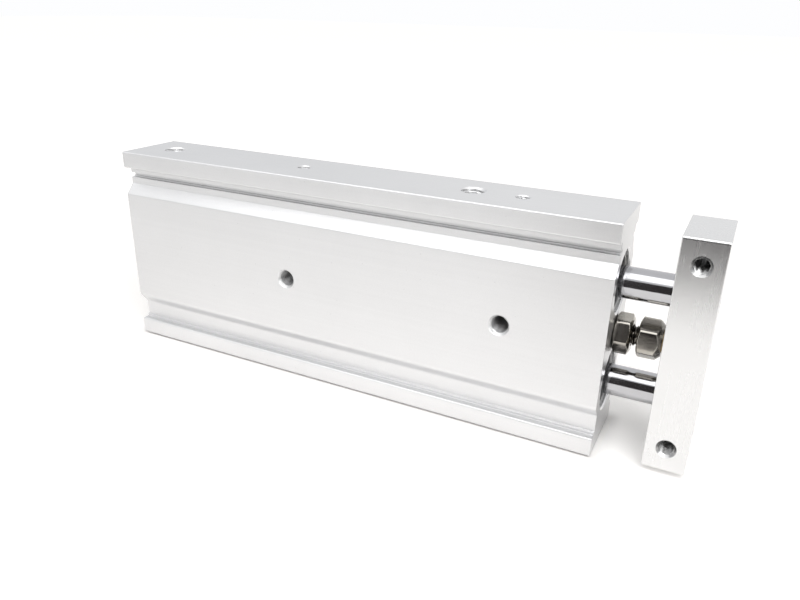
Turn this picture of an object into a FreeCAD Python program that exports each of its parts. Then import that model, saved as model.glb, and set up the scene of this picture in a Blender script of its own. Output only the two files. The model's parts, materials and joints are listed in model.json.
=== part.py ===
import FreeCAD, Part
import Sketcher
import os

# Guided pneumatic cylinder with two piston rods side by side in one long housing.
# +X runs along the rods towards the end plate, +Z is up and +Y is across the housing.
# The origin is the centre of the narrow side on which the housing stands.
# Lengths are in millimetres, angles in degrees. Threads are modelled at their core diameter.

SIZES = (
    ("stroke", 60, "travel of the rods"),
    ("bore_radius", 5, "cylinder bore"),
    ("bore_pitch", 20, "between the two bore axes"),
    ("rod_radius", 3, "piston rod"),
    ("running_gap", 0.03, "radial gap of rod, seal and wear ring"),
    ("fit_gap", 0.02, "radial gap of pieces that are pushed into a seat"),

    ("housing_height", 46, "wide side of the housing"),
    ("housing_depth", 17, "narrow side of the housing"),
    ("flange_height", 3.8, "band along each edge of the wide faces"),
    ("main_face_inset", 10, "edge of the housing to the main face"),
    ("groove_rise", 2.3, "height of the slanted side of the groove"),
    ("groove_depth", 2, "side groove below the main face"),
    ("slot_drop", 1.65, "band to the slot in the floor of an upper groove"),
    ("slot_height", 1.15, "opening of that slot"),
    ("slot_depth", 0.9, "slot below the groove's floor"),
    ("edge_radius", 0.4, "rounding of the long outer edges"),

    ("mouth_radius", 6, "counterbore at each end of a bore"),
    ("mouth_depth", 4.5, "depth of that counterbore"),
    ("ring_inset", 0.7, "end face to retaining ring"),
    ("ring_thickness", 1, "retaining ring"),
    ("ring_play", 0.1, "ring groove wider than the ring"),
    ("ring_groove_depth", 0.3, "ring groove below the counterbore's wall"),
    ("ring_band", 1.2, "radial width of the retaining ring"),
    ("ring_gap", 2.2, "opening between the two ears of the ring"),
    ("ear_radius", 1.05, "ear of the ring"),
    ("ear_spread", 2.05, "ear centre to the middle of the opening"),
    ("ear_hole_radius", 0.5, "plier hole in the ear"),
    ("ring_turn", 49, "how far the ears are turned from the top"),

    ("rod_cover_reach", 27.2, "rod end face to the inner end of the rod cover"),
    ("head_cover_reach", 7.3, "rear end face to the inner end of the head cover"),
    ("seal_lip", 0.8, "wall of the rod cover in front of the rod seal"),
    ("rod_seal_width", 2.6, "rod seal"),
    ("rod_seal_radius", 4.4, "outer radius of the rod seal"),
    ("seal_notch", 0.9, "depth of the notch between seal lips"),
    ("seal_notch_half", 0.3, "half the opening of that notch"),
    ("o_ring_groove", 1.6, "width of the groove of a cover O-ring"),
    ("o_ring_section", 1.1, "cord of a cover O-ring"),
    ("o_ring_flat", 0.25, "half the width on which the O-ring is pressed flat"),
    ("o_ring_setback", 6, "flange of the rod cover to its O-ring"),
    ("head_recess_radius", 3, "shallow recess in the head cover"),
    ("head_recess_depth", 0.8, "depth of that recess"),
    ("bumper_thickness", 2, "bumper ring on the rod cover"),
    ("bumper_band", 0.9, "radial width of the bumper ring"),
    ("bumper_rod_gap", 0.3, "bumper ring clear of the rod"),

    ("piston_length", 14.5, "piston with its nose"),
    ("piston_gap", 0.1, "piston clear of the bore"),
    ("nose_length", 2, "narrow front of the piston"),
    ("nose_radius", 4, "narrow front of the piston"),
    ("land", 1.2, "wall behind the wear ring"),
    ("front_land", 0.5, "wall between the piston seal and the nose"),
    ("wear_ring_width", 2.5, "wear ring"),
    ("wear_ring_thickness", 0.65, "radial thickness of the wear ring"),
    ("magnet_width", 3.5, "magnet ring"),
    ("magnet_thickness", 1.2, "radial thickness of the magnet ring"),
    ("piston_seal_width", 2.4, "piston seal"),
    ("piston_seal_thickness", 1.4, "radial thickness of the piston seal"),
    ("piston_lip_width", 0.8, "each lip of the piston seal on the bore"),
    ("piston_seal_hollow", 0.45, "depth of the hollow between those lips"),
    ("split_opening", 8, "opening of a ring that is split so that it snaps on"),
    ("spigot_radius", 2, "rod end inside the piston"),
    ("spigot_short", 0.6, "rod end behind the rear face of the piston"),
    ("rear_gap", 2.7, "piston to head cover when retracted"),
    ("front_gap", 0.3, "piston nose to bumper ring when extended"),
    ("small_chamfer", 0.3, "broken edge of turned pieces"),

    ("plate_thickness", 7.5, "end plate along the rods"),
    ("plate_depth", 15, "end plate across"),
    ("plate_height", 44.5, "end plate upwards"),
    ("plate_edge", 0.55, "broken edges of the plate along the rods"),
    ("plate_rim", 0.15, "broken edges of the plate's front and back"),
    ("rod_seat_depth", 1, "recess in which a rod end sits"),
    ("plate_hole_inset", 4.75, "end of the plate to the threaded hole in its side"),
    ("plate_hole_mouth", 1.8, "countersink of that hole"),
    ("load_hole_across", 10, "load holes in the plate's front, across"),
    ("load_hole_setback", 4, "side hole of the plate to its load holes, along its height"),
    ("screw_head_radius", 2.75, "cap screw head"),
    ("screw_head_length", 3, "cap screw head"),
    ("screw_recess_gap", 0.25, "counterbore wider than the screw head"),
    ("screw_sink", 0.3, "screw head below the plate's front"),
    ("screw_shank_radius", 1.45, "cap screw shank in the plate"),
    ("screw_passage_gap", 0.15, "hole in the plate wider than the shank"),
    ("screw_length", 8, "cap screw below its head"),
    ("screw_socket_flats", 2.5, "hexagon socket"),
    ("screw_socket_depth", 1.5, "hexagon socket"),
    ("rod_tap_depth", 8.5, "threaded hole in the rod end"),

    ("thread_gap", 0.05, "radial gap between a thread's core and its hole"),
    ("mfour_radius", 1.65, "core hole of a 4 mm thread"),
    ("mfour_mouth", 2.15, "countersink of a 4 mm thread"),
    ("mthree_radius", 1.25, "core hole of a 3 mm thread"),
    ("mthree_mouth", 1.55, "countersink of a 3 mm thread"),
    ("mfive_radius", 2.1, "core hole of a 5 mm port"),
    ("mfive_mouth", 2.6, "countersink of a 5 mm port"),
    ("port_floor", 2.5, "wall between the thread of a port and the bore"),
    ("passage_radius", 0.9, "air passage through both bores"),
    ("rod_port_offset", 2.8, "inner end of the rod cover to the rod side port"),
    ("head_port_offset", 1, "inner end of the head cover to the head side port"),
    ("fixing_inset", 20, "rod end face to the first fixing hole"),
    ("fixing_pitch", 49, "between the fixing holes"),
    ("side_tap_floor", 3, "wall between a threaded hole in a narrow side and the bore"),

    ("hex_flats", 7, "across flats of lock nut and stop bolt"),
    ("lock_nut_thickness", 3.2, "lock nut"),
    ("nut_face_radius", 3.2, "flat ring left on each face of the nut"),
    ("nut_chamfer", 0.45, "depth of the nut's chamfer"),
    ("nut_turn", 6, "how far the nut's flats are turned"),
    ("bare_thread", 1.2, "thread in view between nut and bolt head"),
    ("bolt_head_length", 4.3, "hexagon head of the stop bolt"),
    ("bolt_face_radius", 2.9, "flat ring left on the outer face of the head"),
    ("bolt_chamfer", 1.2, "depth of the chamfer at the outer face"),
    ("bolt_head_turn", 23, "how far the head's flats are turned"),
    ("bolt_engagement", 12.5, "stop bolt inside the housing"),
    ("bolt_travel_room", 2.5, "threaded hole beyond the end of the stop bolt"),
    ("pad_radius", 2.2, "bumper in the head of the stop bolt"),
    ("pad_depth", 2, "bumper inside the head"),
    ("pad_reach", 0.5, "bumper in front of the head"),
    ("pad_chamfer", 0.3, "broken edge of that bumper"),
)


class Size:
    """A size with its value now and the formula that the document keeps for it."""

    def __init__(self, value, formula):
        self.value = value
        self.formula = formula

    def __add__(self, other):
        return joined(self, "+", other)

    def __radd__(self, other):
        return joined(other, "+", self)

    def __sub__(self, other):
        return joined(self, "-", other)

    def __rsub__(self, other):
        return joined(other, "-", self)

    def __mul__(self, other):
        return joined(self, "*", other)

    def __rmul__(self, other):
        return joined(other, "*", self)

    def __truediv__(self, other):
        return joined(self, "/", other)

    def __neg__(self):
        return joined(0, "-", self)


def sized(item):
    return item if isinstance(item, Size) else Size(float(item), str(item))


def joined(left, sign, right):
    left, right = sized(left), sized(right)
    values = {
        "+": left.value + right.value,
        "-": left.value - right.value,
        "*": left.value * right.value,
        "/": left.value / right.value if right.value else 0.0,
    }
    return Size(values[sign], f"({left.formula} {sign} {right.formula})")


class Names:
    """Every row of the sheet as a Size under its own name."""

    def __init__(self, rows):
        for name, value, _ in rows:
            setattr(self, name, Size(float(value), f"Sizes.{name}"))


doc = FreeCAD.newDocument("GuidedCylinder")
sheet = doc.addObject("Spreadsheet::Sheet", "Sizes")
for row, (name, value, note) in enumerate(SIZES, start=1):
    sheet.set(f"A{row}", name)
    sheet.set(f"B{row}", str(value))
    sheet.setAlias(f"B{row}", name)
    sheet.set(f"C{row}", note)
doc.recompute()
d = Names(SIZES)

def root(size):
    return Size(sized(size).value ** 0.5, f"sqrt({sized(size).formula})")


ROOT_OF_THREE = root(3)
FULL_TURN = 360

# Sizes that follow from the driving ones, measured from the rod end face inwards.
ring_groove_width = d.ring_thickness + d.ring_play
cover_inset = d.ring_inset + ring_groove_width
piston_front = d.rod_cover_reach + d.bumper_thickness + d.front_gap + d.stroke
housing_length = piston_front + d.piston_length + d.rear_gap + d.head_cover_reach
plate_gap = d.lock_nut_thickness + d.bare_thread + d.bolt_head_length + d.pad_reach
half_length = housing_length / 2
half_depth = d.housing_depth / 2
middle_z = d.housing_height / 2
upper_z = middle_z + d.bore_pitch / 2
lower_z = middle_z - d.bore_pitch / 2
bolt_core = d.mfour_radius - d.thread_gap
screw_core = d.mthree_radius - d.thread_gap
cover_bore = d.rod_radius + d.running_gap
plug_radius = d.bore_radius - d.fit_gap
flange_radius = d.mouth_radius - d.fit_gap
flange_thickness = d.mouth_depth - cover_inset
ring_groove_radius = d.mouth_radius + d.ring_groove_depth
o_ring_floor = d.bore_radius - d.o_ring_section
head_o_ring_inset = (d.mouth_depth + d.head_cover_reach) / 2
split_arc = FULL_TURN - d.split_opening
screw_passage = d.screw_shank_radius + d.screw_passage_gap
side_wall = lower_z - d.bore_radius
plate_hole_pitch = d.plate_height - d.plate_hole_inset * 2
load_hole_up = plate_hole_pitch - d.load_hole_setback * 2

products = []


def bind(item, path, size):
    item.setExpression(path, sized(size).formula)


def place(item, x=0, y=0, z=0, turn=0, about=(1, 0, 0)):
    """Gives the piece its place, with the turn about one axis through that place."""
    item.Placement = FreeCAD.Placement(
        FreeCAD.Vector(sized(x).value, sized(y).value, sized(z).value),
        FreeCAD.Rotation(FreeCAD.Vector(*about), sized(turn).value))
    for path, size in (("x", x), ("y", y), ("z", z)):
        bind(item, f"Placement.Base.{path}", size)
    if isinstance(turn, Size):
        bind(item, "Placement.Rotation.Angle", turn)


def new_body(label):
    body = doc.addObject("PartDesign::Body", label)
    body.Label = label
    products.append(body)
    return body


def new_sketch(body, name, plane, offset=0):
    """Sketch on a plane of the body's own origin, moved along that plane's normal."""
    sketch = body.newObject("Sketcher::SketchObject", f"{body.Label}_{name}")
    origin_plane = [item for item in body.Origin.OriginFeatures if item.Role == plane][0]
    sketch.AttachmentSupport = [(origin_plane, "")]
    sketch.MapMode = "FlatFace"
    bind(sketch, "AttachmentOffset.Base.z", offset)
    return sketch


def hold(sketch, geometry, point, across, up):
    """Ties one point of the sketch to its distances from the sketch's own origin."""
    for kind, axis, size in (("DistanceX", -2, across), ("DistanceY", -1, up)):
        if not isinstance(size, Size):
            sketch.addConstraint(Sketcher.Constraint("PointOnObject", geometry, point, axis))
            continue
        held = Sketcher.Constraint(kind, -1, 1, geometry, point, size.value)
        index = sketch.addConstraint(held)
        sketch.setExpression(f"Constraints[{index}]", size.formula)


def outline(body, name, plane, points, offset=0):
    """Closed outline of straight sides through the given points."""
    sketch = new_sketch(body, name, plane, offset)
    corners = [FreeCAD.Vector(sized(across).value, sized(up).value, 0) for across, up in points]
    count = len(corners)
    for index in range(count):
        sketch.addGeometry(Part.LineSegment(corners[index], corners[(index + 1) % count]), False)
    for index in range(count):
        sketch.addConstraint(
            Sketcher.Constraint("Coincident", index, 2, (index + 1) % count, 1))
    for index, (across, up) in enumerate(points):
        hold(sketch, index, 1, across, up)
    return sketch


def rings(body, name, plane, centres, radii, offset=0):
    """Circles of every given radius about every given centre."""
    sketch = new_sketch(body, name, plane, offset)
    for across, up in centres:
        centre = FreeCAD.Vector(sized(across).value, sized(up).value, 0)
        for radius in radii:
            circle = Part.Circle(centre, FreeCAD.Vector(0, 0, 1), radius.value)
            geometry = sketch.addGeometry(circle, False)
            hold(sketch, geometry, 3, across, up)
            index = sketch.addConstraint(Sketcher.Constraint("Radius", geometry, radius.value))
            sketch.setExpression(f"Constraints[{index}]", radius.formula)
    return sketch


def feature(body, kind, name, sketch):
    item = body.newObject(f"PartDesign::{kind}", f"{body.Label}_{name}")
    item.Profile = sketch
    return item


def pad(body, name, sketch, length, both_ways=False):
    item = feature(body, "Pad", name, sketch)
    item.SideType = "Symmetric" if both_ways else "One side"
    bind(item, "Length", length)
    return item


def pocket(body, name, sketch, length, both_ways=False, forwards=False):
    """Cuts against the sketch's normal, or along it when forwards is set."""
    item = feature(body, "Pocket", name, sketch)
    item.SideType = "Symmetric" if both_ways else "One side"
    item.Reversed = forwards
    bind(item, "Length", length)
    return item


def turned(body, name, points, angle=None):
    """Turns an outline of (along, radius) points about the X axis."""
    sketch = outline(body, f"{name}_outline", "XZ_Plane", points)
    item = feature(body, "Revolution", name, sketch)
    item.ReferenceAxis = (sketch, ["H_Axis"])
    if angle is not None:
        bind(item, "Angle", angle)
    return item


def cut_round(body, name, points):
    """Turns an outline about the X axis and takes it away."""
    sketch = outline(body, f"{name}_outline", "XZ_Plane", points)
    item = feature(body, "Groove", name, sketch)
    item.ReferenceAxis = (sketch, ["H_Axis"])
    return item


def drill(body, name, sketch, radius, depth=None, mouth=None, counterbore=None,
          forwards=False):
    """Flat-bottomed hole of a depth, or right through, wider at its mouth where that is given."""
    doc.recompute()
    item = feature(body, "Hole", name, sketch)
    item.DepthType = "ThroughAll" if depth is None else "Dimension"
    item.DrillPoint = "Flat"
    item.Reversed = forwards
    bind(item, "Diameter", radius * 2)
    if depth is not None:
        bind(item, "Depth", depth)
    if mouth is not None:
        item.HoleCutType = "Countersink"
        item.HoleCutCustomValues = True
        item.HoleCutCountersinkAngle = 90
        bind(item, "HoleCutDiameter", mouth * 2)
    if counterbore is not None:
        item.HoleCutType = "Counterbore"
        item.HoleCutCustomValues = True
        bind(item, "HoleCutDiameter", counterbore[0] * 2)
        bind(item, "HoleCutDepth", counterbore[1])
    return item


def edges_where(item, test):
    """Names of the edges of a feature that pass a test."""
    doc.recompute()
    return [f"Edge{index}" for index, edge in enumerate(item.Shape.Edges, start=1) if test(edge)]


def break_edges(body, name, base, test, size, rounded=False):
    """Rounds or chamfers the edges of the base feature that pass a test."""
    names = edges_where(base, test)
    item = body.newObject("PartDesign::Fillet" if rounded else "PartDesign::Chamfer",
                          f"{body.Label}_{name}")
    item.Base = (base, names)
    bind(item, "Radius" if rounded else "Size", size)
    return item


def hexagon(flats):
    """Corners of a hexagon whose top and bottom sides are level."""
    corner = flats / ROOT_OF_THREE
    return [(corner / 2, flats / 2), (-corner / 2, flats / 2), (-corner, 0),
            (-corner / 2, -flats / 2), (corner / 2, -flats / 2), (corner, 0)]


def near(first, second, slack=0.01):
    return abs(first - second) < slack


def rim_at(y, radius):
    """Test for the rim of a hole of that radius in the face that lies at that y."""
    def test(edge):
        curve = edge.Curve
        return (isinstance(curve, Part.Circle) and near(curve.Radius, radius.value)
                and near(edge.CenterOfMass.y, y.value) and near(abs(curve.Axis.y), 1))
    return test


def threaded_through(body, name, centres, face, radius, mouth):
    """Threaded holes right through along Y, countersunk in both faces."""
    mark = rings(body, f"{name}_circles", "XZ_Plane", centres, [radius], face)
    holes = drill(body, name, mark, radius, mouth=mouth)
    break_edges(body, f"{name}_far_mouths", holes, rim_at(face, radius), mouth - radius)


def housing_profile():
    """Outline of the extrusion: one side and its mirror image. Each side has two grooves, and
    the upper one has a slot in its floor."""
    deep = half_depth - d.groove_depth
    slot_floor = deep - d.slot_depth
    main_up = middle_z - d.main_face_inset
    band_up = middle_z - d.flange_height
    slot_up = band_up - d.slot_drop
    lower = [
        (half_depth, -middle_z),
        (half_depth, -band_up),
        (deep, -band_up),
        (deep, -main_up - d.groove_rise),
        (half_depth, -main_up),
    ]
    upper = [
        (half_depth, main_up),
        (deep, main_up + d.groove_rise),
        (deep, slot_up - d.slot_height),
        (slot_floor, slot_up - d.slot_height),
        (slot_floor, slot_up),
        (deep, slot_up),
        (deep, band_up),
        (half_depth, band_up),
        (half_depth, middle_z),
    ]
    side = lower + upper
    return [(across, middle_z + up) for across, up in side] + [
        (-across, middle_z + up) for across, up in reversed(side)]


def make_housing():
    """Extruded housing with two bores, their mouths, the ports and all threaded holes."""
    body = new_body("housing")
    extrusion = pad(body, "extrusion", outline(body, "section", "YZ_Plane", housing_profile()),
                    housing_length, both_ways=True)

    def long_outer_edge(edge):
        centre = edge.CenterOfMass
        along = near(edge.Length, housing_length.value)
        outer = near(abs(centre.y), half_depth.value)
        return along and outer

    rounded = break_edges(body, "long_edges", extrusion, long_outer_edge, d.edge_radius,
                          rounded=True)
    doc.recompute()
    axes = [(0, upper_z), (0, lower_z)]
    pocket(body, "bores", rings(body, "bore_circles", "YZ_Plane", axes, [d.bore_radius]),
           housing_length, both_ways=True)
    for end, sign in (("front", 1), ("rear", -1)):
        face = half_length * sign
        mouth = rings(body, f"{end}_mouth_circles", "YZ_Plane", axes, [d.mouth_radius], face)
        pocket(body, f"{end}_mouths", mouth, d.mouth_depth, forwards=sign < 0)
        groove = rings(body, f"{end}_groove_circles", "YZ_Plane", axes, [ring_groove_radius],
                       face - d.ring_inset * sign)
        pocket(body, f"{end}_ring_grooves", groove, ring_groove_width, forwards=sign < 0)

    rod_end = half_length
    fixings = [rod_end - d.fixing_inset, rod_end - d.fixing_inset - d.fixing_pitch]
    threaded_through(body, "fixings", [(x, middle_z) for x in fixings], half_depth,
                     d.mfour_radius, d.mfour_mouth)
    for side, level in (("top", d.housing_height), ("bottom", sized(0))):
        mark = rings(body, f"{side}_tap_circles", "XY_Plane", [(x, 0) for x in fixings],
                     [d.mthree_radius], level)
        drill(body, f"{side}_taps", mark, d.mthree_radius, side_wall - d.side_tap_floor,
              d.mthree_mouth, forwards=side == "bottom")

    ports = [(rod_end - d.rod_cover_reach - d.rod_port_offset, 0),
             (d.head_cover_reach + d.head_port_offset - half_length, 0)]
    mark = rings(body, "port_circles", "XY_Plane", ports, [d.mfive_radius], d.housing_height)
    drill(body, "ports", mark, d.mfive_radius, side_wall - d.port_floor, d.mfive_mouth)
    passages = rings(body, "passage_circles", "XY_Plane", ports, [d.passage_radius],
                     d.housing_height)
    pocket(body, "passages", passages, d.housing_height - lower_z)

    mark = rings(body, "stop_circle", "YZ_Plane", [(0, middle_z)], [d.mfour_radius], rod_end)
    drill(body, "stop_hole", mark, d.mfour_radius, d.bolt_engagement + d.bolt_travel_room)
    return body


def make_rod_cover(label, z):
    """Long bush that guides the rod, with a flange, a seal chamber and an O-ring groove."""
    body = new_body(label)
    length = d.rod_cover_reach - cover_inset
    flange = length - flange_thickness
    ring_front = flange - d.o_ring_setback
    ring_back = ring_front - d.o_ring_groove
    seal_front = length - d.seal_lip
    seal_back = seal_front - d.rod_seal_width
    turned(body, "bush", [
        (0, cover_bore), (0, plug_radius),
        (ring_back, plug_radius), (ring_back, o_ring_floor), (ring_front, o_ring_floor),
        (ring_front, plug_radius), (flange, plug_radius), (flange, flange_radius),
        (length, flange_radius),
        (length, cover_bore + d.small_chamfer), (length - d.small_chamfer, cover_bore),
        (seal_front, cover_bore), (seal_front, d.rod_seal_radius),
        (seal_back, d.rod_seal_radius), (seal_back, cover_bore)])
    place(body, half_length - d.rod_cover_reach, 0, z)


def make_rod_seal(label, z):
    """Lip seal round the rod, its notch towards the pressure side."""
    body = new_body(label)
    middle = (cover_bore + d.rod_seal_radius) / 2
    turned(body, "lips", [
        (0, cover_bore), (d.rod_seal_width, cover_bore), (d.rod_seal_width, d.rod_seal_radius),
        (0, d.rod_seal_radius), (0, middle + d.seal_notch_half), (d.seal_notch, middle),
        (0, middle - d.seal_notch_half)])
    place(body, half_length - cover_inset - d.seal_lip - d.rod_seal_width, 0, z)


def make_o_ring(label, x, z):
    """O-ring of a cover, its cord pressed flat on the groove's floor and on the bore."""
    body = new_body(label)
    half_cord = d.o_ring_section / 2
    middle = d.bore_radius - half_cord
    inner = o_ring_floor + d.fit_gap
    turned(body, "cord", [
        (-d.o_ring_flat, inner), (d.o_ring_flat, inner), (half_cord, middle),
        (d.o_ring_flat, plug_radius), (-d.o_ring_flat, plug_radius), (-half_cord, middle)])
    place(body, x, 0, z)


def make_retaining_ring(label, x, z, turn):
    """Open ring with two ears, flush with its outer edge, and their plier holes."""
    body = new_body(label)
    outer = ring_groove_radius - d.fit_gap
    band = rings(body, "band_circles", "YZ_Plane", [(0, 0)], [outer, outer - d.ring_band])
    pad(body, "band", band, d.ring_thickness)
    reach = outer - d.ear_radius
    setback = root(reach * reach - d.ear_spread * d.ear_spread)
    ears = [(d.ear_spread, setback), (-d.ear_spread, setback)]
    pad(body, "ears", rings(body, "ear_circles", "YZ_Plane", ears, [d.ear_radius]),
        d.ring_thickness)
    half_gap = d.ring_gap / 2
    opening = outline(body, "opening_outline", "YZ_Plane", [
        (-half_gap, 0), (half_gap, 0), (half_gap, ring_groove_radius),
        (-half_gap, ring_groove_radius)])
    pocket(body, "opening", opening, d.ring_thickness, forwards=True)
    holes = rings(body, "plier_circles", "YZ_Plane", ears, [d.ear_hole_radius])
    pocket(body, "plier_holes", holes, d.ring_thickness, forwards=True)
    place(body, x, 0, z, turn)


def make_head_cover(label, z):
    """Plug that closes the rear of a bore."""
    body = new_body(label)
    length = d.head_cover_reach - cover_inset
    ring_middle = head_o_ring_inset - cover_inset
    ring_back = ring_middle - d.o_ring_groove / 2
    ring_front = ring_middle + d.o_ring_groove / 2
    turned(body, "plug", [
        (d.head_recess_depth, 0), (d.head_recess_depth, d.head_recess_radius),
        (0, d.head_recess_radius), (0, flange_radius), (flange_thickness, flange_radius),
        (flange_thickness, plug_radius), (ring_back, plug_radius), (ring_back, o_ring_floor),
        (ring_front, o_ring_floor), (ring_front, plug_radius), (length, plug_radius),
        (length, 0)])
    place(body, cover_inset - half_length, 0, z)


def make_bumper_ring(label, z):
    """Rubber ring on the rod cover that takes the piston at the end of its stroke."""
    body = new_body(label)
    inner = d.rod_radius + d.bumper_rod_gap
    outer = inner + d.bumper_band
    turned(body, "ring", [(0, inner), (d.bumper_thickness, inner),
                          (d.bumper_thickness, outer), (0, outer)])
    place(body, half_length - d.rod_cover_reach - d.bumper_thickness, 0, z)


# Places of the piston's grooves from its rear face. The wear ring is set from the rear, the
# seal from the nose, and the magnet lies midway between them.
nose_start = d.piston_length - d.nose_length
wear_start = d.land
wear_end = wear_start + d.wear_ring_width
seal_end = nose_start - d.front_land
seal_start = seal_end - d.piston_seal_width
magnet_start = (wear_end + seal_start - d.magnet_width) / 2
magnet_end = magnet_start + d.magnet_width
ring_radius = d.bore_radius - d.running_gap
piston_radius = d.bore_radius - d.piston_gap
wear_floor = ring_radius - d.wear_ring_thickness
magnet_floor = piston_radius - d.magnet_thickness
seal_floor = ring_radius - d.piston_seal_thickness
piston_x = half_length - piston_front - d.piston_length


def make_piston(label, z):
    """Piston with grooves for wear ring, magnet and seal, and a narrow nose."""
    body = new_body(label)
    hole = d.spigot_radius + d.fit_gap
    turned(body, "piston", [
        (0, hole), (0, piston_radius),
        (wear_start, piston_radius), (wear_start, wear_floor), (wear_end, wear_floor),
        (wear_end, piston_radius), (magnet_start, piston_radius), (magnet_start, magnet_floor),
        (magnet_end, magnet_floor), (magnet_end, piston_radius), (seal_start, piston_radius),
        (seal_start, seal_floor), (seal_end, seal_floor), (seal_end, piston_radius),
        (nose_start, piston_radius), (nose_start, d.nose_radius),
        (d.piston_length, d.nose_radius),
        (d.piston_length, hole)])
    place(body, piston_x, 0, z)


def make_wear_ring(label, z):
    body = new_body(label)
    inner = wear_floor + d.fit_gap
    turned(body, "ring", [(0, inner), (d.wear_ring_width, inner),
                          (d.wear_ring_width, ring_radius), (0, ring_radius)], split_arc)
    place(body, piston_x + wear_start, 0, z)


def make_magnet(label, z):
    body = new_body(label)
    inner = magnet_floor + d.fit_gap
    turned(body, "ring", [(0, inner), (d.magnet_width, inner),
                          (d.magnet_width, piston_radius), (0, piston_radius)], split_arc)
    place(body, piston_x + magnet_start, 0, z)


def make_piston_seal(label, z):
    """Seal with two lips on the bore and a hollow between them."""
    body = new_body(label)
    inner = seal_floor + d.fit_gap
    width = d.piston_seal_width
    turned(body, "lips", [
        (0, inner), (width, inner), (width, ring_radius),
        (width - d.piston_lip_width, ring_radius),
        (width / 2, ring_radius - d.piston_seal_hollow),
        (d.piston_lip_width, ring_radius), (0, ring_radius)])
    place(body, piston_x + seal_start, 0, z)


def make_rod(label, z):
    """Piston rod with a spigot for the piston and a threaded hole in its front end."""
    body = new_body(label)
    length = piston_front + plate_gap + d.rod_seat_depth
    spigot = d.spigot_short - d.piston_length
    turned(body, "shaft", [
        (spigot, 0), (spigot, d.spigot_radius), (0, d.spigot_radius), (0, d.rod_radius),
        (length, d.rod_radius), (length, 0)])
    mark = rings(body, "tap_circle", "YZ_Plane", [(0, 0)], [d.mthree_radius], length)
    drill(body, "tap", mark, d.mthree_radius, d.rod_tap_depth)
    place(body, half_length - piston_front, 0, z)


def make_plate_screw(label, z):
    """Cap screw that holds the plate on a rod end."""
    body = new_body(label)
    chamfer = d.small_chamfer
    web = d.plate_thickness - d.rod_seat_depth - d.screw_head_length - d.screw_sink
    turned(body, "screw", [
        (-d.screw_length, 0), (-d.screw_length, screw_core), (-web, screw_core),
        (-web, d.screw_shank_radius), (0, d.screw_shank_radius), (0, d.screw_head_radius),
        (d.screw_head_length - chamfer, d.screw_head_radius),
        (d.screw_head_length, d.screw_head_radius - chamfer), (d.screw_head_length, 0)])
    socket = outline(body, "socket_outline", "YZ_Plane", hexagon(d.screw_socket_flats),
                     d.screw_head_length)
    pocket(body, "socket", socket, d.screw_socket_depth)
    place(body, half_length + plate_gap + d.rod_seat_depth + web, 0, z)


def make_end_plate():
    """Plate across both rods, with its screws sunk in and threaded holes for a load."""
    body = new_body("end_plate")
    across, up = d.plate_depth / 2, d.plate_height / 2
    block = pad(body, "block", outline(body, "block_outline", "YZ_Plane", [
        (-across, -up), (across, -up), (across, up), (-across, up)]), d.plate_thickness)

    def along_rods(edge):
        return near(edge.Length, d.plate_thickness.value)

    corners = break_edges(body, "long_edges", block, along_rods, d.plate_edge)
    break_edges(body, "rims", corners, lambda edge: not along_rods(edge), d.plate_rim)
    rod_axes = [(0, d.bore_pitch / 2), (0, -d.bore_pitch / 2)]
    seats = rings(body, "seat_circles", "YZ_Plane", rod_axes, [d.rod_radius + d.fit_gap])
    pocket(body, "rod_seats", seats, d.rod_seat_depth, forwards=True)
    mark = rings(body, "screw_circles", "YZ_Plane", rod_axes, [screw_passage],
                 d.plate_thickness)
    drill(body, "screw_holes", mark, screw_passage,
          counterbore=(d.screw_head_radius + d.screw_recess_gap,
                       d.screw_head_length + d.screw_sink))
    half_across, half_up = d.load_hole_across / 2, load_hole_up / 2
    load_holes = [(half_across, half_up), (-half_across, half_up),
                  (-half_across, -half_up), (half_across, -half_up)]
    mark = rings(body, "load_circles", "YZ_Plane", load_holes, [d.mthree_radius],
                 d.plate_thickness)
    drill(body, "load_holes", mark, d.mthree_radius, mouth=d.mthree_mouth)
    middle_x, hole_up = d.plate_thickness / 2, plate_hole_pitch / 2
    threaded_through(body, "side_holes", [(middle_x, hole_up), (middle_x, -hole_up)], across,
                     d.mthree_radius, d.plate_hole_mouth)
    place(body, half_length + plate_gap, 0, middle_z)


def bevel_hexagon(body, name, face, face_radius, depth, inwards):
    """Takes the corners of a hexagon down to a round face."""
    corner = d.hex_flats / ROOT_OF_THREE
    outside = d.hex_flats
    slope = (outside - face_radius) / (corner - face_radius)
    cut_round(body, name, [(face, face_radius), (face, outside),
                           (face + depth * inwards * slope, outside)])


def make_lock_nut():
    """Nut that locks the stop bolt against the housing."""
    body = new_body("lock_nut")
    pad(body, "block", outline(body, "hexagon", "YZ_Plane", hexagon(d.hex_flats)),
        d.lock_nut_thickness)
    bevel_hexagon(body, "inner_bevel", sized(0), d.nut_face_radius, d.nut_chamfer, 1)
    bevel_hexagon(body, "outer_bevel", d.lock_nut_thickness, d.nut_face_radius,
                  d.nut_chamfer, -1)
    mark = rings(body, "thread_circle", "YZ_Plane", [(0, 0)], [d.mfour_radius],
                 d.lock_nut_thickness)
    drill(body, "thread", mark, d.mfour_radius)
    place(body, half_length, 0, middle_z, d.nut_turn)


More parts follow.
